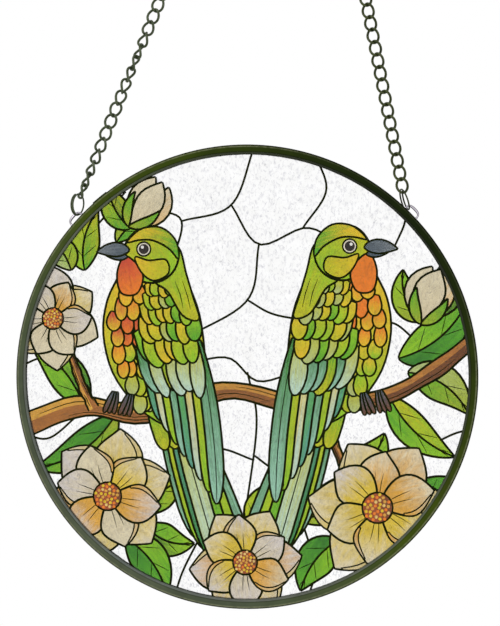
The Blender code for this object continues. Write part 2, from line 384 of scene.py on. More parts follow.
def rim_coat():
    """The rim's olive coat, with painted light and shade: nearly black at the upper right, greyer below,
    darker at both edges of its face, with a painted highlight and wear near its outer edge.
    """
    finish = Finish("rim_coat")
    across, below = around_rim(finish)
    # Painted light and shade: near black at the upper right, greyer towards the lower left, as if lit from
    # the lower left
    painted_light_round_rim = [(0.0, "#131f00"), (0.15, "#2a3704"), (0.5, "#3c4b0a"), (0.85, "#4b5440"), (1.0, "#515945")]
    patches = finish.ramp(finish.noise(110.0, 4.0, distortion=0.4), [(0.3, 0.72), (0.7, 1.0)])
    # Painted shade: the face darkens towards its inner edge and over its rounded outer edge
    painted_edge_shade = finish.ramp(across, [(0.24, 0.50), (0.38, 1.0), (0.84, 1.0), (0.93, 0.25)])
    face = finish.times(finish.times(finish.ramp(below, painted_light_round_rim), patches), painted_edge_shade)
    grit = finish.noise(700.0, 3.0)
    # A painted highlight near the outer rounding, broken up by grit like wear and fading out at the upper
    # right
    highlight_and_wear = finish.ramp(across, [(0.70, 0.0), (0.80, 0.7), (0.90, 0.0)])
    highlight_and_wear = finish.times(highlight_and_wear, finish.ramp(grit, [(0.35, 0.35), (0.6, 1.0)]))
    highlight_and_wear = finish.times(highlight_and_wear, finish.ramp(below, [(0.02, 0.15), (0.15, 1.0)]))
    values = {
        "Base Color": finish.mix(highlight_and_wear, face, "#7d8062"),
        "Roughness": finish.ramp(grit, [(0.3, 0.36), (0.7, 0.52)]),
        "Specular IOR Level": 0.06,
        "Normal": finish.relief(finish.noise(2600.0, 3.0), 0.25, 0.04 * MM),
    }
    return finish.surface(values)


def lip_metal():
    """The bare grey metal of the lip beside the glass: dull, streaked, and darker at the upper right and
    beside the glass, as painted shade.
    """
    finish = Finish("bare_lip")
    across, below = around_rim(finish)
    # Painted shade: the lip darkens towards the upper right, as the rim's coat does
    painted_light_round_rim = [(0.0, "#1a200e"), (0.2, "#30371f"), (0.45, "#555c4a"), (0.85, "#63675e"), (1.0, "#646b64")]
    # Painted shade: the lip darkens at its inner edge, beside the glass
    edges = finish.ramp(across, [(0.0, 0.45), (0.05, 0.85), (0.17, 1.0), (0.24, 1.0)])
    patches = finish.noise(240.0, 4.0, distortion=0.5)
    tone = finish.times(finish.ramp(below, painted_light_round_rim), edges)
    values = {
        "Base Color": finish.times(tone, finish.ramp(patches, [(0.3, 0.7), (0.7, 1.0)])),
        "Roughness": finish.ramp(patches, [(0.3, 0.48), (0.7, 0.36)]),
        "Metallic": 0.35,
        "Specular IOR Level": 0.3,
        "Normal": finish.relief(finish.noise(1800.0, 3.0), 0.2, 0.04 * MM),
    }
    return finish.surface(values)


def bright_metal():
    """Bright wire with fine drawing lines, painted pale on its front and back as a highlight and painted dark
    along its sides as shade.
    """
    finish = Finish("bright_wire")
    # Painted light: pale where the wire faces front or back, dark where it faces sideways
    facing = finish.vector("DOT_PRODUCT", finish.geometry("Normal"), tuple(AWAY))
    sheen = [(0.0, "#dcd7e2"), (0.04, "#c4bdc9"), (0.14, "#5c5358"), (0.86, "#5c5358"), (0.96, "#c4bdc9")]
    tone = finish.ramp(finish.onto_unit(facing, -1.0, 1.0), sheen)
    patches = finish.noise(700.0, 4.0, distortion=0.6)
    values = {
        "Base Color": finish.times(tone, finish.ramp(patches, [(0.3, 0.78), (0.7, 1.0)])),
        "Roughness": finish.ramp(patches, [(0.3, 0.34), (0.7, 0.2)]),
        "Metallic": 0.85,
        "Normal": finish.relief(finish.noise(3000.0, 2.0), 0.15, 0.03 * MM),
    }
    return finish.surface(values)


def clear_glass():
    """Clear seedy glass, with faint grey specks drawn out upwards and a soft hammered relief."""
    finish = Finish("clear_glass")
    drawn_out = finish.vector("MULTIPLY", finish.place, (1.0, 1.0, 0.62))
    cloud = finish.ramp(finish.noise(160.0, 5.0, distortion=1.2), [(0.36, "#f8f8f7"), (0.60, "#ffffff")])
    specks = finish.ramp(finish.noise(900.0, 3.0, drawn_out, 0.8), [(0.34, "#d6d6dc"), (0.46, "#ffffff")])
    flecks = finish.ramp(finish.noise(380.0, 2.0, drawn_out, 1.6), [(0.24, "#c2c2c6"), (0.31, "#ffffff")])
    values = {
        "Base Color": finish.times(finish.times(cloud, specks), flecks),
        "Transmission Weight": 1.0,
        "Roughness": 0.04,
        "IOR": 1.5,
        "Normal": finish.relief(finish.noise(420.0, 3.0, distortion=0.5), 0.35, 0.3 * MM),
    }
    return finish.surface(values)


def print_ink():
    """Transparent ink: each cell runs from one colour to another, with streaks like drawn glass."""
    finish = Finish("print_ink")
    grain = finish.attribute("ink_grain", "Vector")
    along = finish.node("ShaderNodeSeparateXYZ", {"Vector": grain}).outputs["X"]
    streaks = finish.noise(2.4, 4.0, finish.vector("MULTIPLY", grain, (0.9, 2.6, 1.0)), 0.7)
    # The streaks push the change of colour to and fro along the cell
    shift = finish.node("ShaderNodeMath", {0: streaks, 1: 1.3, 2: -0.65}, operation="MULTIPLY_ADD")
    inputs = {0: shift.outputs[0], 1: along}
    along = finish.node("ShaderNodeMath", inputs, operation="ADD", use_clamp=True).outputs[0]
    colour = finish.mix(along, finish.attribute("ink_near", "Color"), finish.attribute("ink_far", "Color"))
    wash = finish.ramp(finish.noise(130.0, 5.0, distortion=1.0), [(0.25, 0.86), (0.60, 1.0)])
    colour = finish.times(colour, wash)
    fine = finish.noise(1500.0, 3.0)
    values = {
        "Base Color": finish.times(colour, finish.ramp(fine, [(0.30, 0.92), (0.60, 1.0)])),
        "Transmission Weight": 0.92,
        "Roughness": 0.22,
        "Specular IOR Level": 0.1,
        "IOR": 1.45,
        "Normal": finish.relief(fine, 0.08, 0.05 * MM),
    }
    return finish.surface(values)


def line_ink():
    """The dark outlines of the print, uneven in tone and gloss like thick ink."""
    finish = Finish("line_ink")
    patches = finish.noise(260.0, 3.0)
    values = {
        "Base Color": finish.ramp(patches, [(0.3, "#081200"), (0.7, "#191b00")]),
        "Roughness": finish.ramp(patches, [(0.3, 0.42), (0.7, 0.55)]),
        "Specular IOR Level": 0.04,
    }
    return finish.surface(values)


# The metal work


def make_rim(coat, bare_metal):
    """The turned channel with its raised face and lower lip, whose metal is bare from the slope inwards."""
    slope = RIM_RADIUS - RIM_FACE
    front = [
        ((RIM_RADIUS, -HALF_FACE), RIM_EDGE),
        ((slope, -HALF_FACE), FACE_ROUNDING),
        ((slope - LIP_SLOPE, -HALF_LIP), FOOT_ROUNDING),
        ((SIGHT_RADIUS, -HALF_LIP), LIP_ROUNDING),
        ((SIGHT_RADIUS, -HALF_GROOVE), 0.0),
        ((GROOVE_RADIUS, -HALF_GROOVE), 0.0),
    ]
    back = [((radius, -depth), size) for (radius, depth), size in reversed(front)]
    corners, radii = zip(*(front + back))
    section = round_section(corners, radii)
    points, faces = turned(section, RIM_SEGMENTS)
    rim = mesh_piece("rim_turned", points, faces, [coat, bare_metal], "rim", 30.0)
    # The metal is bare from a little way down the slope
    lip_edge = slope - LIP_SLOPE * 0.2
    size = len(section)
    bare = [max(section[index][0], section[(index + 1) % size][0]) < lip_edge for index in range(size)]
    for number, polygon in enumerate(rim.data.polygons):
        polygon.material_index = 1 if bare[number % size] else 0


def make_sleeve(coat):
    """The short sleeve that closes the rim's joint, over its face, its outer side and its back."""
    slope = RIM_RADIUS - RIM_FACE
    proud, outer = HALF_FACE + SLEEVE_PROUD, RIM_RADIUS + SLEEVE_PROUD
    inside, inner = HALF_FACE + SLEEVE_GAP, RIM_RADIUS + SLEEVE_GAP
    corners = [
        (slope, -inside), (inner, -inside), (inner, inside), (slope, inside),
        (slope, proud), (outer, proud), (outer, -proud), (slope, -proud),
    ]
    radii = [0.0, 0.0, 0.0, 0.0, FOOT_ROUNDING, RIM_EDGE, RIM_EDGE, FOOT_ROUNDING]
    sweep = SLEEVE_LENGTH / RIM_RADIUS
    start = math.radians(90.0) + SLEEVE_ANGLE - sweep / 2
    points, faces = turned(round_section(corners, radii), SLEEVE_SEGMENTS, start, sweep)
    mesh_piece("rim_sleeve", points, faces, [coat], "rim", 30.0)


def squarer(value, power):
    """Bends a sine or cosine so that an oval gets squarer shoulders."""
    return math.copysign(abs(value) ** power, value)


class Side:
    """Where the lug, split ring and chain of one side are."""

    def __init__(self, side, lug_angle, slide, ring_lean, turn, shift, coil_gap, coil_start):
        self.outward = Vector((side * math.sin(lug_angle), 0.0, math.cos(lug_angle)))
        self.upward = Vector((-side * math.cos(lug_angle), 0.0, math.sin(lug_angle)))
        self.foot = CENTRE + self.outward * RIM_RADIUS
        self.coil_pitch = RING_WIRE + coil_gap
        self.coil_start = coil_start
        self.ring_up = Vector((-side * math.sin(ring_lean), 0.0, math.cos(ring_lean)))
        right = Vector((self.ring_up.z, 0.0, -self.ring_up.x))
        self.axis = right * math.cos(turn) + AWAY * math.sin(turn)
        self.ring_side = self.axis.cross(self.ring_up)
        hole = self.foot + self.upward * slide + self.outward * RING_STANDOFF
        rise = RING_RADIUS * math.cos(shift)
        self.ring_centre = hole + self.ring_up * rise + self.ring_side * (RING_RADIUS * math.sin(shift))
        self.hitch = hole + self.ring_up * (2 * rise)


LEFT = Side(
    side=-1,
    lug_angle=math.radians(47.3),
    slide=2.3 * MM,
    ring_lean=math.radians(4.8),
    turn=math.radians(-22.8),
    shift=math.radians(22.1),
    coil_gap=0.15 * MM,
    coil_start=math.radians(20.0),
)
RIGHT = Side(
    side=1,
    lug_angle=math.radians(45.4),
    slide=2.2 * MM,
    ring_lean=math.radians(18.0),
    turn=math.radians(15.2),
    shift=math.radians(-28.3),
    coil_gap=0.4 * MM,
    coil_start=math.radians(200.0),
)


def make_lug(name, node, place, material):
    """A low arch of bright wire, with a drop of solder at each foot."""
    middles = []
    steps = 48
    for step in range(steps + 1):
        turn = math.pi * step / steps
        along = LUG_HALF_WIDTH * squarer(math.cos(turn), LUG_SQUARENESS)
        rise = LUG_FOOT + (LUG_HEIGHT - LUG_FOOT) * squarer(math.sin(turn), LUG_SQUARENESS)
        middles.append(place.foot + place.upward * along + place.outward * rise)

    def swell(share):
        """Wide where it is bent over the ring's outer side, with a drop at each foot."""
        foot = min(share, 1 - share)
        widening = 2 * LUG_BAND / LUG_WIRE - 1
        return 1.0 + 0.55 * math.exp(-((foot / 0.035) ** 2)) + widening * math.sin(math.pi * share) ** 2

    points, faces = tube(middles, LUG_WIRE / 2, WIRE_SIDES, False, swell)
    mesh_piece(name, points, faces, [material], node, 50.0)


def make_ring(name, node, place, material):
    """A split ring: a flat coil of round wire, a turn and a bit long, cut square."""
    middles = []
    steps = 110
    for step in range(steps + 1):
        share = step / steps
        turn = place.coil_start + RING_SWEEP * share
        point = place.ring_centre + place.axis * (place.coil_pitch * RING_SWEEP / math.tau * (share - 0.5))
        point = point + place.ring_up * (RING_RADIUS * math.cos(turn))
        middles.append(point + place.ring_side * (RING_RADIUS * math.sin(turn)))

    def ends(share):
        """A little narrower at the cut ends."""
        edge = min(share, 1 - share) * steps
        return 0.86 if edge < 0.5 else 1.0

    points, faces = tube(middles, RING_WIRE / 2, WIRE_SIDES, False, ends)
    mesh_piece(name, points, faces, [material], node, 50.0)


def link_line(centre, run, roll, reach):
    """The middle line of one curb link, whose ends are twisted opposite ways."""
    half_width = LINK_WIDTH / 2 - LINK_WIRE / 2
    across = Vector((run.z, 0.0, -run.x)).normalized()
    away = run.cross(across)
    middles = []
    for station in range(LINK_STATIONS):
        turn = math.tau * (station + 0.5) / LINK_STATIONS
        along = squarer(math.cos(turn), LINK_SQUARENESS)
        aside = squarer(math.sin(turn), LINK_SQUARENESS)
        twist = roll - LINK_TWIST * along
        sideways = across * math.cos(twist) + away * math.sin(twist)
        middles.append(centre + run * (reach * along) + sideways * (half_width * aside))
    return middles


def make_chain(name, node, place, roll, material):
    """A run of curb chain in round wire, link by link where the solid has them."""
    base = place.hitch
    run_length = (APEX - base).length
    run = (APEX - base).normalized()
    solid_radius = LINK_WIRE / 2 * SOLID_SWELL
    hooked = solid_radius + HOOK_CLEARANCE
    first = -RING_WIRE / 2 - hooked
    last = run_length - (HANG_INNER - hooked)
    span = last - first
    overlap = 2 * solid_radius - SOLID_BITE
    count = round((span - overlap) / (LINK_LENGTH - LINK_WIRE - overlap))
    pitch = (span - overlap) / count
    touch = 0.02 * MM
    reach = (pitch + LINK_WIRE - touch) / 2
    points, faces = [], []
    for index in range(count):
        distance = first + (pitch + overlap) / 2 + pitch * index
        line = link_line(base + run * distance, run, roll(distance / run_length), reach)
        add_mesh(points, faces, tube(line, ROUND_WIRE / 2, LINK_SIDES, True))
    mesh_piece(name, points, faces, [material], node, 60.0)


def roll_left(share):
    """The left run hangs twisted: it turns over on its way up."""
    for (low, low_roll), (high, high_roll) in zip(TWISTS_LEFT, TWISTS_LEFT[1:]):
        if share < high:
            break
    part = min(1.0, max(0.0, (share - low) / (high - low)))
    return low_roll + (high_roll - low_roll) * part


def roll_right(share):
    """The right run shows its broad side, and turns a little towards its top."""
    return math.radians(-45.0) * share * share


def make_hanging_ring(material):
    """The plain closed ring that both runs meet in."""
    middles = []
    steps = 72
    for step in range(steps):
        turn = math.tau * step / steps
        middles.append(APEX + Vector((HANG_RADIUS * math.cos(turn), 0.0, HANG_RADIUS * math.sin(turn))))
    points, faces = tube(middles, HANG_WIRE / 2, 16, True)
    mesh_piece("hanging_ring_wire", points, faces, [material], "hanging_ring", 60.0)


# The picture, drawn in millimetres from the middle of the pane


def line_normals(points):
    """The unit normals of a line of points, to its left."""
    steps = np.gradient(points, axis=0)
    normals = np.stack([-steps[:, 1], steps[:, 0]], 1)
    return normals / np.maximum(np.linalg.norm(normals, axis=1, keepdims=True), 1e-9)


def circle(centre, radius, count):
    """Points evenly round a circle."""
    turns = np.linspace(0, math.tau, count + 1)[:-1]
    return np.array(centre, float) + radius * np.stack([np.cos(turns), np.sin(turns)], 1)


class Picture:
    """Cells of colour and dark lines, each over the ones before it."""

    def __init__(self):
        self.cells = []

    def add(self, outline, near, far, root, tip, width, is_line=False):
        """A cell whose colour runs from its root to its tip."""
        root, tip = np.array(root, float), np.array(tip, float)
        length = max(np.linalg.norm(tip - root), 0.01)
        along = (tip - root) / length
        seed = len(self.cells) * 0.37 % 50.0
        self.cells.append((np.array(outline, float), near, far, root, along, length, width, seed, is_line))

    def line(self, points, width, ends=0.6, spread=INK_SPREAD):
        """A dark line through the points, a little thinner towards its ends, cut where it turns sharply."""
        width += spread
        points = np.array(points, float)
        start = 0
        for index in range(1, len(points) - 1):
            before = points[index] - points[index - 1]
            after = points[index + 1] - points[index]
            turn = abs(math.atan2(before[0] * after[1] - before[1] * after[0], before @ after))
            if turn > SHARP_TURN:
                self.stretch(points[start:index + 1], width, ends)
                start = index
        self.stretch(points[start:], width, ends)

    def stretch(self, points, width, ends):
        """One smooth stretch of line."""
        if len(points) < 2:
            return
        share = np.linspace(0.0, 1.0, len(points))
        half = width / 2 * (ends + (1 - ends) * np.sin(np.pi * share) ** 0.5)
        aside = line_normals(points) * half[:, None]
        sides = [points + aside, (points - aside)[::-1]]
        self.add(np.concatenate(sides), INK_LINE, INK_LINE, points[0], points[-1], width, True)

    def outlined(self, outline, near, far, root, tip, width, line):
        """A cell with a dark line round it."""
        self.add(outline, near, far, root, tip, width)
        closed = np.concatenate([outline, outline[:1]])
        half = len(closed) // 2
        self.line(closed[:half + 1], line, 0.85)
        self.line(closed[half:], line, 0.85)


INK_LINE = linear("#2a2408")
YELLOW_GREEN = linear("#c2c20a")
LIME = linear("#96c814")
MID_GREEN = linear("#5cae14")
DEEP_GREEN = linear("#2f8018")
DARK_GREEN = linear("#1d5c1c")
TEAL = linear("#9ccbb2")
DEEP_TEAL = linear("#5ca48a")
SLATE = linear("#4a5a66")
YELLOW = linear("#e6c41c")
ORANGE = linear("#ee8216")
RED = linear("#d2482c")
CREAM = linear("#e2d7b8")
SHELL = linear("#d8caa6")
OCHRE = linear("#e0aa40")
RUST = linear("#a85020")
BROWN = linear("#b0702c")
DARK_BROWN = linear("#6f3f16")
PETAL_GREY = linear("#dad2ca")
GOLD = linear("#dec23c")
PALE_TEAL = linear("#c0dccb")
PALE_LEAF = linear("#b6c47e")
OLIVE_LEAF = linear("#a3b41e")
STRAW = linear("#e8c878")
PALE_SLATE = linear("#7d8488")
EYE_RING = linear("#e9e2cf")
EYE_DARK = linear("#20160c")
EYE_GLINT = linear("#f6f4ee")


def smooth_line(points, count):
    """A smooth line through a few points, as count points evenly spread in its own measure."""
    points = np.array(points, float)
    if len(points) == 2:
        return points[0] + (points[1] - points[0]) * np.linspace(0, 1, count)[:, None]
    padded = np.concatenate([[2 * points[0] - points[1]], points, [2 * points[-1] - points[-2]]])
    return spline(padded, len(points) - 1, count)


def smooth_loop(points, count):
    """A smooth closed outline through a few points."""
    points = np.array(points, float)
    padded = np.concatenate([points[-1:], points, points[:2]])
    return spline(padded, len(points), count + 1)[:-1]


def spline(padded, spans, count):
    """Catmull-Rom through padded points."""
    places = np.linspace(0, spans, count)
    index = np.minimum(places.astype(int), spans - 1)
    t = (places - index)[:, None]
    a, b, c, d = (padded[index + shift] for shift in range(4))
    square, cube = 2 * a - 5 * b + 4 * c - d, 3 * b - a - 3 * c + d
    return 0.5 * (2 * b + (c - a) * t + square * t ** 2 + cube * t ** 3)


def leaf_width(t):
    """Widest before the middle, with a point at both ends."""
    return np.sin(np.pi * t ** 0.8) ** 0.85


def feather_width(t):
    """Narrow at the root, broad and round at the tip."""
    swell = 0.45 + 0.55 * np.sin(np.pi / 2 * np.minimum(1.0, t / 0.5))
    return swell * np.sqrt(np.maximum(0.0, 1 - np.maximum(0.0, (t - 0.72) / 0.28) ** 2))


def scale_width(t):
    """A short drop-shaped scale, narrower at its root."""
    swell = 0.50 + 0.50 * np.sin(np.pi / 2 * np.minimum(1.0, t / 0.6))
    return swell * np.sqrt(np.maximum(0.0, 1 - np.maximum(0.0, (t - 0.5) / 0.5) ** 2))


def petal_width(t):
    """Broad beyond the middle, with a blunt point."""
    return (0.16 + 0.84 * np.sin(np.pi * t ** 1.15) ** 0.8) * np.sqrt(np.maximum(0.0, 1 - t ** 7))


def blade(root, tip, width, shape, bend=0.0, count=15):
    """The outline of a leaf, feather or petal, its middle line and its direction."""
    root, tip = np.array(root, float), np.array(tip, float)
    along = tip - root
    length = np.linalg.norm(along)
    normal = np.array([-along[1], along[0]]) / length
    t = (1 - np.cos(np.linspace(0, np.pi, count))) / 2
    bow = (4 * t * (1 - t) * bend * length)[:, None] * normal
    middle = root + along * t[:, None] + bow
    aside = line_normals(middle) * (shape(t) * width)[:, None]
    left, right = middle + aside, middle - aside
    outline = np.concatenate([left, right[::-1]])
    keep = np.linalg.norm(outline - np.roll(outline, 1, axis=0), axis=1) > 0.02
    return outline[keep], middle, left, right


def draw_blade(picture, root, tip, width, shape, near, far, bend):
    """A leaf or petal as one outlined cell."""
    outline = blade(root, tip, width, shape, bend)[0]
    picture.outlined(outline, near, far, root, tip, width, 0.55)


def draw_leaf(picture, root, tip, width, bend, light, dark, tip_ink):
    """A leaf in two tones, parted by its midrib, with a few side veins."""
    middle, left, right = blade(root, tip, width, leaf_width, bend, 21)[1:]
    for side, ink in ((left, light), (right, dark)):
        outline = np.concatenate([middle, side[::-1]])
        picture.add(outline, ink, tip_ink, root, tip, width)
    for share in (0.30, 0.52, 0.72):
        index = int(share * (len(middle) - 1))
        ahead = min(index + 3, len(middle) - 1)
        for side in (left, right):
            end = middle[ahead] + (side[ahead] - middle[ahead]) * 0.80
            picture.line([middle[index], (middle[index] + end) / 2, end], 0.4, 0.4, 0.0)
    picture.line(middle, 0.5, 0.5)
    picture.line(left, 0.6, 0.7)
    picture.line(right, 0.6, 0.7)


def draw_flower(picture, centre, radius, turn, warm, rng):
    """An open blossom of pointed petals in two rings, with a stippled middle."""
    centre = np.array(centre, float)
    for ring, (reach, breadth) in enumerate(PETAL_RINGS):
        for index in range(PETALS):
            angle = turn + math.tau * (index + 0.5 * ring) / PETALS + rng.uniform(-0.07, 0.07)
            direction = np.array([math.cos(angle), math.sin(angle)])
            tip = centre + direction * radius * reach * rng.uniform(0.94, 1.04)
            root = centre + direction * radius * 0.06
            width = radius * breadth * 5.6 / PETALS
            bend = rng.uniform(-0.07, 0.07)
            near = rng.choice([OCHRE, GOLD, GOLD]) if rng.random() < warm else SHELL
            far = rng.choice([CREAM, CREAM, PETAL_GREY])
            outline, middle, left, right = blade(root, tip, width, petal_width, bend, 19)
            washed = root if near is SHELL else root + (tip - root) * WARM_REACH
            picture.outlined(outline, near, far, washed, tip, width, 0.55)
            if rng.random() < 0.45:
                rim = (left if rng.random() < 0.5 else right)[7:16]
                fold = middle[7:16] + (rim - middle[7:16]) * np.linspace(0.86, 0.62, 9)[:, None]
                curl = np.concatenate([rim, fold[::-1]])
                ink = GOLD if ring == 0 else OCHRE
                picture.outlined(curl, ink, SHELL, rim[0], rim[-1], width * 0.4, 0.2)
            side = np.array([-direction[1], direction[0]])
            for spread in (-0.2, 0.2):
                vein = middle[4:11] + side * spread * width * np.linspace(0.4, 1.0, 7)[:, None]
                picture.line(vein[::2], 0.36, 0.3, 0.0)
    draw_heart(picture, centre, radius * 0.19, rng)


def draw_heart(picture, centre, radius, rng):
    """The stippled middle of a blossom: dots in a sunflower spiral on a dark ground."""
    ring = circle(centre, radius * 1.12, 18)
    picture.outlined(ring, RUST, DARK_BROWN, centre, ring[0], radius, 0.4)
    dots = 34
    for index in range(dots):
        angle = index * math.pi * (3 - math.sqrt(5))
        reach = radius * math.sqrt((index + 0.5) / dots)
        middle = centre + reach * np.array([math.cos(angle), math.sin(angle)])
        size = radius * 0.125
        corners = circle(middle, size, 7)
        ink = rng.choice([YELLOW, STRAW, OCHRE, ORANGE])
        picture.add(corners, ink, ink, middle, corners[0], size)


def draw_bud(picture, root, tip, width, bend):
    """A closed bud: three pale petals held by two green sepals."""
    root, tip = np.array(root, float), np.array(tip, float)
    along = tip - root
    side = np.array([-along[1], along[0]])
    draw_blade(picture, root, tip + side * 0.16, width * 0.8, petal_width, SHELL, CREAM, 0.10 + bend)
    draw_blade(picture, root, tip - side * 0.16, width * 0.8, petal_width, OCHRE, CREAM, -0.10 + bend)
    draw_blade(picture, root, tip, width * 0.85, petal_width, SHELL, CREAM, bend)
    for way in (-1, 1):
        end = root + along * 0.55 + side * 0.30 * way
        foot = root - along * 0.06
        draw_blade(picture, foot, end, width * 0.30, leaf_width, OLIVE_LEAF, MID_GREEN, 0.12 * way)


def draw_branch(picture, points, start, end):
    """A bough, thicker at its start, with bark lines."""
    middle = smooth_line(points, 46)
    sides = line_normals(middle)
    share = np.linspace(0, 1, len(middle))
    knots = 1 + 0.10 * np.sin(share * 23.0) + 0.06 * np.sin(share * 51.0 + 1.0)
    half = (start + (end - start) * share) * knots
    left, right = middle + sides * half[:, None], middle - sides * half[:, None]
    spine = middle + sides * (half * 0.15)[:, None]
    picture.add(np.concatenate([left, spine[::-1]]), OCHRE, BROWN, points[0], points[-1], start)
    picture.add(np.concatenate([spine, right[::-1]]), BROWN, DARK_BROWN, points[0], points[-1], start)
    bark = [(2, 14, 0.45), (10, 24, -0.35), (20, 33, 0.5), (28, 43, -0.45), (5, 20, -0.65)]
    for low, high, offset in bark:
        picture.line((middle + sides * (half * offset)[:, None])[low:high], 0.42, 0.3, 0.0)
    picture.line(left, 0.6, 0.8)
    picture.line(right, 0.6, 0.8)


class Bird:
    """A long-tailed bird, drawn perched and facing right, then placed and turned, and mirrored if need be."""

    def __init__(self, picture, head, mirrored, rng):
        self.picture = picture
        self.head = np.array(head, float)
        self.mirror = -1.0 if mirrored else 1.0
        self.rng = rng

    def at(self, points):
        """From the bird's own places to the picture's."""
        points = np.atleast_2d(np.array(points, float)) * BIRD_SIZE
        c, s = math.cos(BIRD_LEAN), math.sin(BIRD_LEAN)
        turned_points = points @ np.array([[c, s], [-s, c]])
        turned_points[:, 0] *= self.mirror
        return turned_points + self.head

    def cell(self, outline, near, far, root, tip, width, line=0.55):
        """An outlined cell in the bird's own places."""
        placed = self.at(outline)
        if self.mirror < 0:
            placed = placed[::-1]
        root, tip = self.at(root)[0], self.at(tip)[0]
        self.picture.outlined(placed, near, far, root, tip, width * BIRD_SIZE, line)

    def feather(self, root, tip, width, shape, near, far, bend=0.0, line=0.5, count=13):
        """A blade in the bird's own places; gives its middle line."""
        outline, middle = blade(root, tip, width, shape, bend, count)[:2]
        self.cell(outline, near, far, root, tip, width, line)
        return middle

    def fine_line(self, points, width):
        """A dark line in the bird's own places, thin at its ends."""
        self.picture.line(self.at(points), width, 0.4, 0.0)

    def row(self, start, end, way, count, length, width, inks, line=0.5, stagger=0.0):
        """A row of overlapping scales or short feathers between two points, lying along way."""
        start, end, way = (np.array(value, float) for value in (start, end, way))
        for index in range(count):
            share = (index + 0.5 + stagger + self.rng.uniform(-0.18, 0.18)) / count
            root = start + (end - start) * share
            swing = (share - 0.5) * 0.35
            c, s = math.cos(swing), math.sin(swing)
            direction = np.array([way[0] * c - way[1] * s, way[0] * s + way[1] * c])
            near, far = self.rng.choice(inks)
            reach = length * self.rng.uniform(0.88, 1.12)
            broad = width * self.rng.uniform(0.88, 1.14)
            bend = self.rng.uniform(-0.06, 0.06)
            self.feather(root, root + direction * reach, broad, scale_width, near, far, bend, line, 11)

    def draw(self, throat):
        """The whole bird, with what lies in front drawn last."""
        self.tail()
        self.body()
        self.breast_scales(throat)
        self.wing()
        self.nape()
        self.face(throat)
        self.feet()

    def tail(self):
        """Seven long feathers, the middle one on top, with five short ones over their roots."""
        inks = [
            (DEEP_GREEN, TEAL), (YELLOW_GREEN, LIME), (LIME, MID_GREEN), (YELLOW_GREEN, PALE_TEAL),
            (DEEP_TEAL, DEEP_GREEN), (YELLOW_GREEN, LIME), (DEEP_GREEN, TEAL),
        ]
        order = (0, 6, 1, 5, 2, 4, 3)
        for index in order:
            spread = (index - 3) / 3
            root = (-16 + 4.6 * spread, -50 + 1.8 * spread)
            tip = (-42 + 10.0 * spread, -106 + 7.0 * abs(spread) + 3.0 * spread)
            near, far = inks[index]
            middle = self.feather(root, tip, 3.3, feather_width, near, far, 0.02 * spread, 0.55, 17)
            self.fine_line(middle[3:-1], 0.5)
        for index in range(5):
            root = (-22 + 3.6 * index, -46 - 1.0 * index)
            tip = (root[0] - 8.5, root[1] - 17)
            self.feather(root, tip, 2.7, feather_width, MID_GREEN, YELLOW_GREEN, 0.0, 0.5)

    def body(self):
        """One smooth cell under the breast's scales and the wing."""
        outline = smooth_loop(
            [(-2, 10), (6, 8.4), (10, 2), (10, -7), (13, -18), (12.5, -30), (7, -43), (-3, -53),
             (-13, -58), (-22, -58), (-26, -48), (-25, -34), (-20.5, -18), (-14, -6), (-9.4, 4)],
            60,
        )
        self.cell(outline, YELLOW, LIME, (6, -16), (-8, -56), 14)

    def breast_scales(self, throat):
        """Rows of scales from the belly up, each over the one below it."""
        rows = 8
        for index in reversed(range(rows)):
            share = index / (rows - 1)
            height = -11 - 37 * share
            front = 9.2 + 3.6 * math.sin(math.pi * min(1.0, share * 1.15)) - 12.5 * share ** 2.4
            if share < 0.45:
                inks = [(throat, ORANGE), (ORANGE, YELLOW), (throat, YELLOW)]
            elif share < 0.75:
                inks = [(YELLOW, YELLOW_GREEN), (YELLOW, LIME), (ORANGE, YELLOW)]
            else:
                inks = [(LIME, YELLOW_GREEN), (YELLOW_GREEN, PALE_LEAF)]
            self.row((-5 - 2 * share, height + 1), (front, height), (-0.30, -0.95), 4, 7.4, 2.5, inks, 0.42)

    def wing(self):
        """The long feathers first, then the rows that cover their roots, up to the shoulder."""
        flight_inks = [
            (DEEP_GREEN, TEAL), (YELLOW_GREEN, LIME), (YELLOW, PALE_TEAL), (MID_GREEN, DEEP_TEAL),
        ]
        for index in reversed(range(8)):
            share = index / 7
            root = (-21 + 20 * share, -27 - 4 * share)
            tip = (-37 + 24 * share, -83 + 26 * share)
            near, far = flight_inks[index % 4]
            middle = self.feather(root, tip, 2.9, feather_width, near, far, -0.03, 0.55, 17)
            self.fine_line(middle[4:-1], 0.42)
        long_inks = [(DEEP_GREEN, TEAL), (YELLOW_GREEN, PALE_TEAL), (MID_GREEN, YELLOW_GREEN)]
        coverts = [
            (YELLOW_GREEN, LIME), (YELLOW_GREEN, PALE_LEAF), (YELLOW, YELLOW_GREEN), (LIME, MID_GREEN),
            (YELLOW_GREEN, YELLOW),
        ]
        rows = [
            ((0.6, -33), (-21.8, -28.4), 6, 17.0, 3.1, long_inks, 0.5, 0.0),
            ((1.4, -27), (-20.4, -22.8), 6, 12.5, 3.1, coverts, 0.5, -0.2),
            ((1.6, -22), (-18.9, -17.8), 6, 9.8, 2.9, coverts, 0.5, 0.12),
            ((1.8, -17.5), (-16.6, -13.8), 6, 8.0, 2.5, coverts, 0.46, -0.2),
            ((1.8, -13.5), (-12.5, -10), 5, 6.4, 2.1, coverts, 0.42, 0.2),
            ((1.4, -10.0), (-8.5, -7.6), 4, 5.2, 1.8, coverts, 0.38, 0.0),
        ]
        for start, end, count, length, width, inks, line, stagger in rows:
            self.row(start, end, (-0.40, -0.92), count, length, width, inks, line, stagger)

    def nape(self):
        """The smooth back between the head and the wing."""
        back = smooth_loop(
            [(-3.5, 5), (-2.0, -7.5), (-8.0, -11.5), (-14.5, -19), (-20.5, -19.5), (-17.2, -12),
             (-13.4, -4), (-9.4, 4.5)],
            40,
        )
        self.cell(back, LIME, YELLOW_GREEN, (-4, 4), (-18, -17), 8, 0.5)
        for shift in (0.0, 2.6):
            fold = [(-12.6 + shift, -7 - shift * 0.2), (-15.2 + shift, -12), (-16.9 + shift, -16.4)]
            self.fine_line(fold, 0.42)

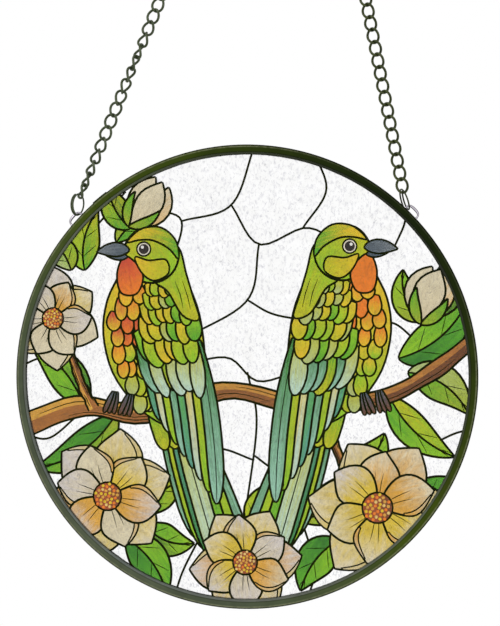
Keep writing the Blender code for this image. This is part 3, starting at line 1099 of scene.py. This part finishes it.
    def face(self, throat):
        """Head, crown, bib and cheek, then the eye in three discs and the two halves of the beak."""
        self.cell(circle((0, 0.4), 9.9, 32), YELLOW_GREEN, LIME, (4, 8), (-8, -8), 10, 0.6)
        crown = smooth_loop(
            [(9.2, 3.6), (5, 9.0), (-2, 10.6), (-8, 6.8), (-10, 0.5), (-6, 3.6), (0, 5.6), (5, 5.0)], 36,
        )
        self.cell(crown, YELLOW, MID_GREEN, (8, 4), (-10, 2), 6, 0.5)
        bib = smooth_loop([(9.4, -1.5), (4.5, -3.5), (1.5, -8), (3.0, -14), (8.5, -14.5), (11, -8)], 30)
        self.cell(bib, throat, ORANGE, (9, -2), (5, -14), 6, 0.5)
        cheek = smooth_loop(
            [(5.6, -1.2), (0.5, -1.6), (-5.5, -0.4), (-7.2, -5.0), (-2.5, -8.4), (2.2, -6.4)], 28,
        )
        self.cell(cheek, YELLOW, YELLOW_GREEN, (5, -2), (-6, -5), 5, 0.45)
        for radius, ink in ((2.5, EYE_RING), (1.8, EYE_DARK), (0.55, EYE_GLINT)):
            shift = (2.9, 2.1) if radius > 1 else (3.5, 2.7)
            disc = circle(shift, radius, 16)
            if radius > 2:
                self.cell(disc, ink, ink, shift, (shift[0] + radius, shift[1]), radius, 0.35)
            else:
                placed = self.at(disc)
                self.picture.add(placed, ink, ink, placed[0], placed[8], radius)
        self.feather((8.2, -1.6), (16.0, -2.2), 1.5, leaf_width, SLATE, SLATE, 0.02, 0.4)
        self.feather((7.8, 0.9), (19.5, -1.6), 2.5, leaf_width, SLATE, PALE_SLATE, 0.05, 0.45)

    def feet(self):
        """Three toes to a foot, over the bough."""
        for shift in (0.0, 5.5):
            for toe in (-1.6, 0.2, 2.0):
                root = (-0.5 + shift + toe * 0.4, -49.5)
                tip = (0.5 + shift + toe, -57.5)
                self.feather(root, tip, 0.9, feather_width, SLATE, DARK_BROWN, 0.0, 0.35, 9)


# The dark lines in the clear ground, each through a few points
GROUND_LINES = [
    [(-90, 46), (-70, 60), (-52, 80)],
    [(-46, 72), (-28, 68), (-32, 48)],
    [(-28, 67), (-6, 74), (4, 99)],
    [(-6, 74), (6, 57), (26, 64), (40, 58)],
    [(25, 64), (35, 80), (30, 96)],
    [(6, 57), (1, 33), (-25, 17)],
    [(1, 33), (12, 27), (28, 24)],
    [(-24, 6), (-7, 8), (6, -2), (26, 4)],
    [(1, 2), (5, -20), (0, -60)],
    [(-28, -36), (-12, -31), (4, -36)],
    [(4, -34), (14, -40), (28, -38)],
    [(64, 55), (69, 69), (63, 82)],
    [(54, 22), (64, 23), (74, 15)],
    [(-72, -16), (-86, -27), (-99, -24)],
    [(24, -60), (30, -82), (26, -98)],
    [(78, -30), (90, -24), (99, -22)],
    [(-99, 4), (-87, 8), (-72, 2)],
    [(-20, -70), (-27, -84), (-31, -96)],
]

# The leaves: root, tip, width, bend, and the inks of the light half, the dark half and the tip
LEAVES = [
    ((-56, -16), (-92, -40), 8, 0.12, OLIVE_LEAF, DEEP_GREEN, MID_GREEN),
    ((-70, -14), (-94, 14), 8, -0.10, MID_GREEN, DEEP_GREEN, LIME),
    ((-70, 46), (-64, 72), 7, 0.12, LIME, MID_GREEN, YELLOW_GREEN),
    ((-76, 46), (-88, 60), 6, -0.12, PALE_LEAF, OLIVE_LEAF, LIME),
    ((-56, 58), (-34, 70), 5, 0.15, OLIVE_LEAF, MID_GREEN, LIME),
    ((-50, 64), (-60, 84), 6, 0.10, MID_GREEN, DEEP_GREEN, YELLOW_GREEN),
    ((66, 8), (96, 34), 9, -0.12, LIME, DEEP_GREEN, MID_GREEN),
    ((76, 24), (68, 46), 6, 0.14, OLIVE_LEAF, MID_GREEN, LIME),
    ((76, 26), (90, 58), 8, -0.15, MID_GREEN, DARK_GREEN, LIME),
    ((70, 2), (96, -16), 8, 0.14, PALE_LEAF, MID_GREEN, OLIVE_LEAF),
    ((62, -8), (90, -34), 7, -0.10, YELLOW_GREEN, MID_GREEN, LIME),
    ((44, -42), (24, -62), 8, 0.14, MID_GREEN, DEEP_GREEN, OLIVE_LEAF),
    ((44, -42), (60, -24), 7, -0.12, OLIVE_LEAF, DEEP_GREEN, LIME),
    ((70, -62), (92, -44), 8, 0.10, DEEP_GREEN, DARK_GREEN, MID_GREEN),
    ((40, -70), (24, -92), 8, -0.10, LIME, DEEP_GREEN, MID_GREEN),
    ((-44, -60), (-24, -44), 7, 0.12, OLIVE_LEAF, MID_GREEN, YELLOW_GREEN),
    ((-44, -64), (-22, -72), 7, -0.14, MID_GREEN, DARK_GREEN, LIME),
    ((-52, -70), (-34, -94), 8, 0.10, LIME, DEEP_GREEN, MID_GREEN),
    ((-78, -50), (-96, -60), 7, 0.1, PALE_LEAF, OLIVE_LEAF, LIME),
    ((-70, -66), (-70, -86), 7, -0.12, MID_GREEN, DEEP_GREEN, OLIVE_LEAF),
    ((4, -66), (14, -46), 6, 0.12, YELLOW_GREEN, MID_GREEN, LIME),
]

BOUGHS = [                             # points, and half the width at the start and at the end
    ([(-98, -22), (-72, -13), (-44, -16), (-8, -6), (24, -12), (58, -9), (80, 2), (98, 16)], 4.6, 3.0),
    ([(26, -12), (36, -24), (44, -42)], 2.4, 1.5),
    ([(-66, -14), (-72, -2), (-78, 16)], 2.2, 1.3),
]
BUDS = [                               # root, tip, width and bend
    ((76, 24), (84, 46), 8.0, 0.05),
    ((-50, 66), (-36, 84), 7.0, -0.05),
]
BIRDS = [                              # middle of the head, whether it is mirrored, and the throat's ink
    ((-41, 52), True, RED),
    ((42, 53), False, ORANGE),
]
FLOWERS = [                            # middle, radius, turn, and share of warm petals
    ((-60, -52), 29, 0.3, 0.5),
    ((57, -56), 31, 0.9, 0.9),
    ((0, -80), 25, 0.1, 0.9),
    ((-84, 25), 22, 0.6, 0.3),
]


def draw_picture():
    """The whole design, from the lines in the clear ground up to the birds and the blossoms."""
    rng = random.Random(11)
    picture = Picture()
    for points in GROUND_LINES:
        picture.line(smooth_line(points, 18), 0.52, 0.92)
    for leaf in LEAVES:
        draw_leaf(picture, *leaf)
    for points, start, end in BOUGHS:
        draw_branch(picture, points, start, end)
    for bud in BUDS:
        draw_bud(picture, *bud)
    for head, mirrored, throat in BIRDS:
        Bird(picture, head, mirrored, rng).draw(throat)
    for centre, radius, turn, warm in FLOWERS:
        draw_flower(picture, centre, radius, turn, warm, rng)
    return picture


def inside(outline, points):
    """Which points the outline goes round."""
    x, y = points[:, 0:1], points[:, 1:2]
    start, end = outline, np.roll(outline, -1, axis=0)
    up = (start[:, 1] <= y) & (end[:, 1] > y)
    down = (start[:, 1] > y) & (end[:, 1] <= y)
    side = (end[:, 0] - start[:, 0]) * (y - start[:, 1]) - (x - start[:, 0]) * (end[:, 1] - start[:, 1])
    return ((up & (side > 0)).sum(1) - (down & (side < 0)).sum(1)) != 0


def cut(points, edges, slack):
    """Triangles over the points whose sides follow every edge, inside the print's own circle."""
    made = delaunay_2d_cdt(points, edges, [], 0, slack)
    spots = np.array([tuple(point) for point in made[0]])
    triangles = np.array(made[2])
    middles = spots[triangles].mean(1)
    kept = np.hypot(middles[:, 0], middles[:, 1]) < PRINT_RADIUS * math.cos(math.pi / PRINT_SEGMENTS)
    return spots, triangles[kept]


def top_cells(picture, spots, triangles):
    """The number of the cell that lies on top of each triangle, or -1 on clear ground."""
    middles = spots[triangles].mean(1)
    top = np.full(len(triangles), -1)
    for index, cell in enumerate(picture.cells):
        outline = cell[0]
        low, high = outline.min(0), outline.max(0)
        near = np.flatnonzero(((middles >= low) & (middles <= high)).all(1))
        if len(near):
            top[near[inside(outline, middles[near])]] = index
    return top


def borders(triangles, top):
    """The edges that part two cells, or a cell and clear ground."""
    edges = np.concatenate([triangles[:, pair] for pair in ([0, 1], [1, 2], [2, 0])])
    edges = np.sort(edges, axis=1)
    owners = np.tile(top, 3)
    edges, group, count = np.unique(edges, axis=0, return_inverse=True, return_counts=True)
    group = group.ravel()
    least, most = np.full(len(edges), len(top)), np.full(len(edges), -2)
    np.minimum.at(least, group, owners)
    np.maximum.at(most, group, owners)
    return edges[(least != most) | (count == 1)]


def part_disc(picture):
    """Cuts the disc into triangles along the outlines that show, and says which cell each belongs to."""
    points, edges = [], []
    outlines = [cell[0] for cell in picture.cells]
    outlines.append(circle((0, 0), PRINT_RADIUS, PRINT_SEGMENTS))
    for outline in outlines:
        shift = len(points)
        points.extend(Vector(point) for point in outline)
        edges.extend((shift + index, shift + (index + 1) % len(outline)) for index in range(len(outline)))
    spots, triangles = cut(points, edges, FIRST_SLACK)
    shown = borders(triangles, top_cells(picture, spots, triangles))
    used, shown = np.unique(shown, return_inverse=True)
    points = [Vector(point) for point in spots[used]]
    edges = [(int(start), int(end)) for start, end in shown.reshape(-1, 2)]
    spots, triangles = cut(points, edges, LAST_SLACK)
    return spots, triangles, top_cells(picture, spots, triangles)


def make_print(picture, ink, line):
    """The print as one thin film on the pane, open where the glass is clear."""
    spots, triangles, top = part_disc(picture)
    shown = top >= 0
    triangles, top = triangles[shown], top[shown]
    used, triangles = np.unique(triangles, return_inverse=True)
    triangles = triangles.reshape(-1, 3)
    spots = spots[used]
    front = [CENTRE + Vector((x * MM, PANE_FRONT, y * MM)) for x, y in spots]
    back = [point + AWAY * FILM for point in front]
    count = len(front)
    corners = spots[triangles]
    area = (corners[:, 1, 0] - corners[:, 0, 0]) * (corners[:, 2, 1] - corners[:, 0, 1])
    area -= (corners[:, 1, 1] - corners[:, 0, 1]) * (corners[:, 2, 0] - corners[:, 0, 0])
    triangles = np.where((area > 0)[:, None], triangles, triangles[:, ::-1])
    sides = {}
    for number, triangle in enumerate(triangles):
        for index in range(3):
            edge = (int(triangle[index]), int(triangle[(index + 1) % 3]))
            sides[edge] = number
    faces = [tuple(int(v) for v in triangle) for triangle in triangles]
    owner = list(top)
    faces += [tuple(int(v) + count for v in triangle[::-1]) for triangle in triangles]
    owner += list(top)
    for (start, end), number in sides.items():
        if (end, start) not in sides:
            faces.append((end, start, start + count, end + count))
            owner.append(top[number])
    piece = mesh_piece("print", front + back, faces, [ink, line], "glass_disc", 20.0)
    paint(piece.data, picture, owner)


def paint(mesh, picture, owner):
    """Writes each face's colours and place along its cell into the mesh."""
    count = len(mesh.loops)
    near, far, grain = np.ones((count, 4)), np.ones((count, 4)), np.zeros((count, 3))
    spots = np.zeros(len(mesh.vertices) * 3)
    mesh.vertices.foreach_get("co", spots)
    spots = (spots.reshape(-1, 3) - np.array(CENTRE))[:, [0, 2]] / MM
    for polygon, cell_number in zip(mesh.polygons, owner):
        near_ink, far_ink, root, along, length, width, seed, is_line = picture.cells[cell_number][1:]
        polygon.material_index = 1 if is_line else 0
        for loop in polygon.loop_indices:
            offset = spots[mesh.loops[loop].vertex_index] - root
            near[loop, :3] = near_ink
            far[loop, :3] = far_ink
            aside = offset[1] * along[0] - offset[0] * along[1]
            grain[loop] = (offset @ along / length, aside / max(width, 1.0), seed)
    for name, kind, values in (("ink_near", "FLOAT_COLOR", near), ("ink_far", "FLOAT_COLOR", far)):
        mesh.attributes.new(name, kind, "CORNER").data.foreach_set("color", values.ravel())
    mesh.attributes.new("ink_grain", "FLOAT_VECTOR", "CORNER").data.foreach_set("vector", grain.ravel())


def make_pane(material):
    """The pane's disc: a faintly hammered back of many rings of points, and a flat front."""
    front_depth = PANE_FRONT + FILM + FILM_GAP
    rings, segments = PANE_RINGS, PANE_SEGMENTS
    rng = random.Random(5)
    waves = []
    for _ in range(PANE_WAVES):
        waves.append((rng.uniform(700, 1700), rng.uniform(0, math.tau), rng.uniform(0, math.tau)))

    def height(x, z):
        """How far the hammered back rises at a place."""
        total = sum(math.sin(k * (x * math.cos(a) + z * math.sin(a)) + p) for k, a, p in waves)
        return PANE_RELIEF * total / math.sqrt(PANE_WAVES)

    points = [CENTRE + Vector((0.0, PANE_BACK - PANE_RELIEF, 0.0))]
    for ring in range(1, rings + 1):
        radius = PANE_RADIUS * ring / rings
        fade = min(1.0, (rings - ring) / 3)
        for segment in range(segments):
            angle = math.tau * segment / segments
            x, z = radius * math.cos(angle), radius * math.sin(angle)
            depth = PANE_BACK - PANE_RELIEF * 3 * fade + height(x, z) * fade
            points.append(CENTRE + Vector((x, min(depth, PANE_BACK), z)))
    front_start = len(points)
    for segment in range(segments):
        angle = math.tau * segment / segments
        x, z = PANE_RADIUS * math.cos(angle), PANE_RADIUS * math.sin(angle)
        points.append(CENTRE + Vector((x, front_depth, z)))
    points.append(CENTRE + Vector((0.0, front_depth, 0.0)))
    hub = len(points) - 1
    faces = []
    for segment in range(segments):
        after = (segment + 1) % segments
        faces.append((0, 1 + after, 1 + segment))
        for ring in range(rings - 1):
            low, high = 1 + ring * segments, 1 + (ring + 1) * segments
            faces.append((low + segment, low + after, high + after, high + segment))
        edge = 1 + (rings - 1) * segments
        faces.append((edge + segment, edge + after, front_start + after, front_start + segment))
        faces.append((hub, front_start + segment, front_start + after))
    mesh_piece("pane_glass", points, faces, [material], "glass_disc", 40.0)


# The stage


def make_floor():
    """A plain pale floor, well below the hanging piece."""
    bpy.ops.mesh.primitive_circle_add(vertices=64, radius=5.0, fill_type="NGON", location=(0.0, 0.0, -1.6))
    floor = bpy.context.object
    floor.name = "floor"
    material = bpy.data.materials.new("pale_floor")
    material.use_nodes = True
    shader = material.node_tree.nodes["Principled BSDF"]
    shader.inputs["Base Color"].default_value = (0.86, 0.86, 0.85, 1.0)
    shader.inputs["Roughness"].default_value = 0.7
    floor.data.materials.append(material)


def make_light(name, place, target, size, power):
    """A round lamp at a place, turned to its target."""
    light = bpy.data.lights.new(name, "AREA")
    light.shape = "DISK"
    light.size = size
    light.energy = power
    lamp = link_object(bpy.data.objects.new(name, light))
    lamp.location = place
    lamp.rotation_euler = (Vector(target) - Vector(place)).to_track_quat("-Z", "Y").to_euler()


def make_lights():
    """An even white surrounding and one soft lamp at the upper left, in front."""
    world = bpy.data.worlds.new("soft studio")
    world.use_nodes = True
    background = world.node_tree.nodes["Background"]
    background.inputs["Color"].default_value = (1.0, 1.0, 1.0, 1.0)
    background.inputs["Strength"].default_value = 1.0
    bpy.context.scene.world = world
    make_light("front_key", CENTRE + Vector((-0.9, -1.1, 0.8)), CENTRE, 0.7, 6.0)


def make_camera():
    """A level camera a little to the right, framed so that the pane sits as in the photograph."""
    width_px, height_px = 500, 626
    disc_px = (245.4, 376.6)
    size = 0.4312 * MM
    azimuth = math.radians(6.0)
    distance = 1.0
    right = Vector((math.cos(azimuth), math.sin(azimuth), 0.0))
    back = Vector((math.sin(azimuth), -math.cos(azimuth), 0.0))
    shift_right = (width_px / 2 - disc_px[0]) * size
    shift_up = (disc_px[1] - height_px / 2) * size
    sensor = 24.0
    data = bpy.data.cameras.new("camera")
    data.sensor_fit = "VERTICAL"
    data.sensor_height = sensor
    data.sensor_width = sensor
    data.lens = sensor * distance / (height_px * size)
    camera = link_object(bpy.data.objects.new("camera", data))
    camera.location = CENTRE + right * shift_right + Vector((0.0, 0.0, shift_up)) + back * distance
    camera.rotation_euler = (-back).to_track_quat("-Z", "Y").to_euler()
    data.clip_start = 0.01
    bpy.context.scene.camera = camera


def main():
    """Sets the stage, then builds each piece in its own looks."""
    scene = bpy.context.scene
    for start_object in ("Cube", "Light", "Camera"):
        if start_object in bpy.data.objects:
            bpy.data.objects.remove(bpy.data.objects[start_object])
    scene.view_settings.view_transform = "Standard"
    make_camera()
    make_lights()
    make_floor()
    coat = rim_coat()
    plate = coated_metal("chain_plate", "#181f03", "#333c14", "#5f6640", 0.40)
    # Painted light: the left ring and chain take a lighter, greyer copy of the same plating
    left_lit_plate = coated_metal("left_lit_plate", "#242d14", "#424d30", "#6c7460", 0.42)
    bright = bright_metal()
    make_rim(coat, lip_metal())
    make_sleeve(coat)
    make_lug("lug_left_wire", "lug_left", LEFT, bright)
    make_lug("lug_right_wire", "lug_right", RIGHT, bright)
    make_ring("ring_left_wire", "ring_left", LEFT, left_lit_plate)
    make_ring("ring_right_wire", "ring_right", RIGHT, plate)
    make_chain("chain_left_links", "chain_left", LEFT, roll_left, left_lit_plate)
    make_chain("chain_right_links", "chain_right", RIGHT, roll_right, plate)
    make_hanging_ring(plate)
    make_pane(clear_glass())
    make_print(draw_picture(), print_ink(), line_ink())


main()
